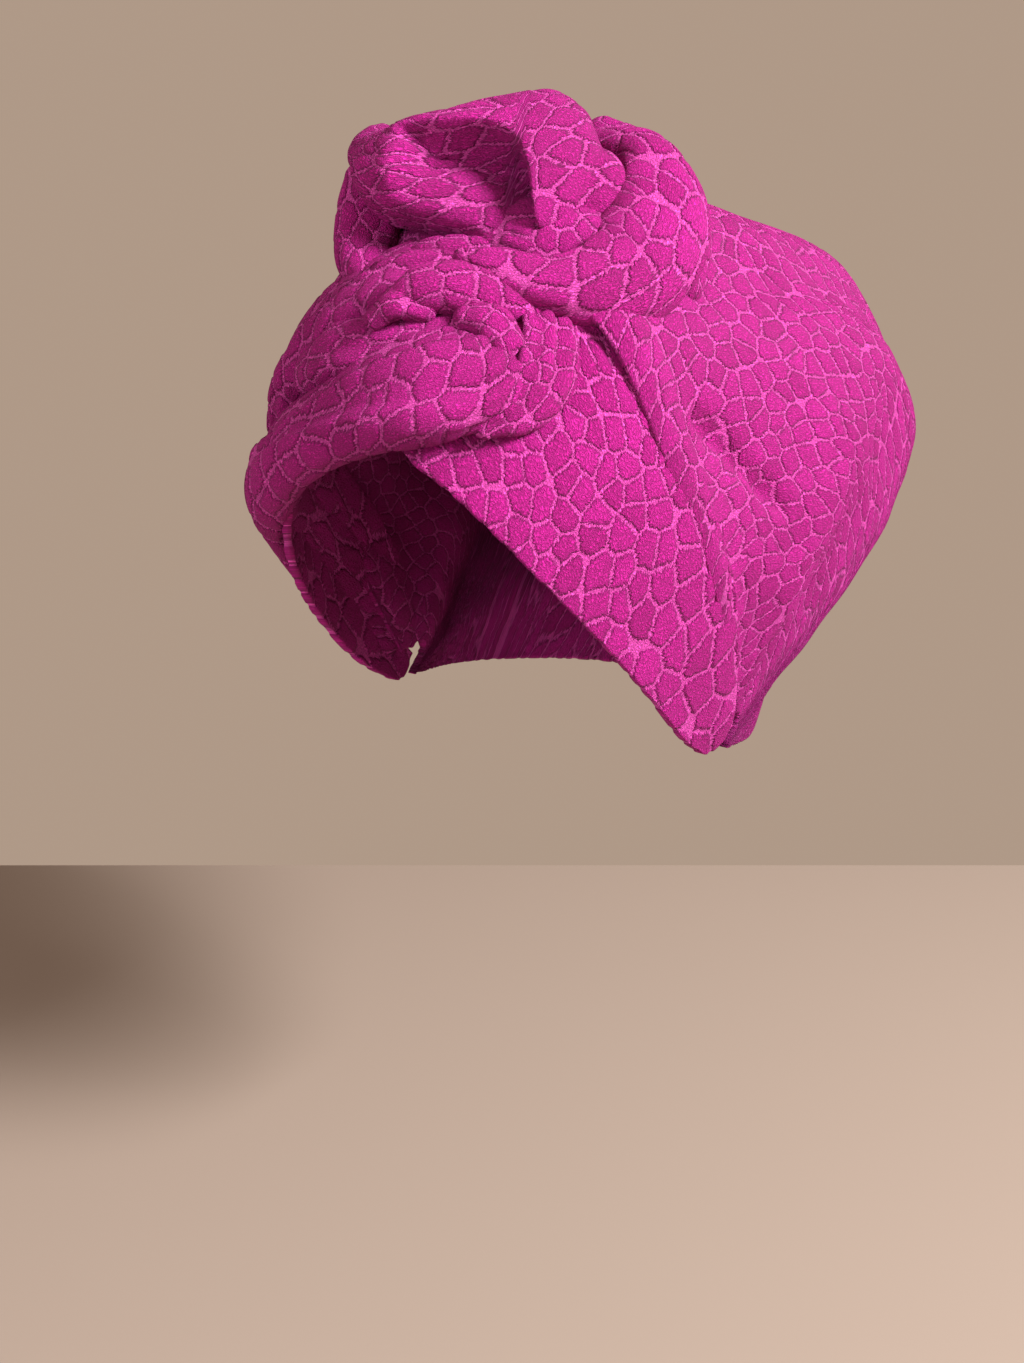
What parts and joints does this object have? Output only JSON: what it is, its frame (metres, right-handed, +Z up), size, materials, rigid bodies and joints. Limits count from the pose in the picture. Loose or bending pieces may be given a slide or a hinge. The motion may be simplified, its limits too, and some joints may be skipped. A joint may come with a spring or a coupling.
{
  "type": "turban headwrap",
  "caption": "Wound turban headwrap with a full crown, side bands, a rolled and pouched brow and a folded rosette knot above it.",
  "frame": {"origin": "centre of the wearer's head at brow level", "axes": "the wearer faces -Y, the wearer's left is +X, +Z up"},
  "size_m": [0.194, 0.2765, 0.2324],
  "materials": {
    "blister_cloth": "matt blister weave with raised reptile-scale cells"
  },
  "bodies": {
    "root": {"crown_wrap": "blister_cloth", "side_band_left": "blister_cloth", "side_band_right": "blister_cloth", "brow_roll": "blister_cloth", "brow_pouch": "blister_cloth", "brow_fold": "blister_cloth", "tuck_pleat": "blister_cloth", "tuck_edge": "blister_cloth", "tuck_roll": "blister_cloth", "knot_arch_fold": "blister_cloth", "knot_inner_fold": "blister_cloth", "knot_upper_fold": "blister_cloth", "knot_swirl": "blister_cloth", "knot_outer_band": "blister_cloth", "knot_back_fold": "blister_cloth", "knot_side_fold": "blister_cloth", "knot_core": "blister_cloth"}
  },
  "joints": []
}
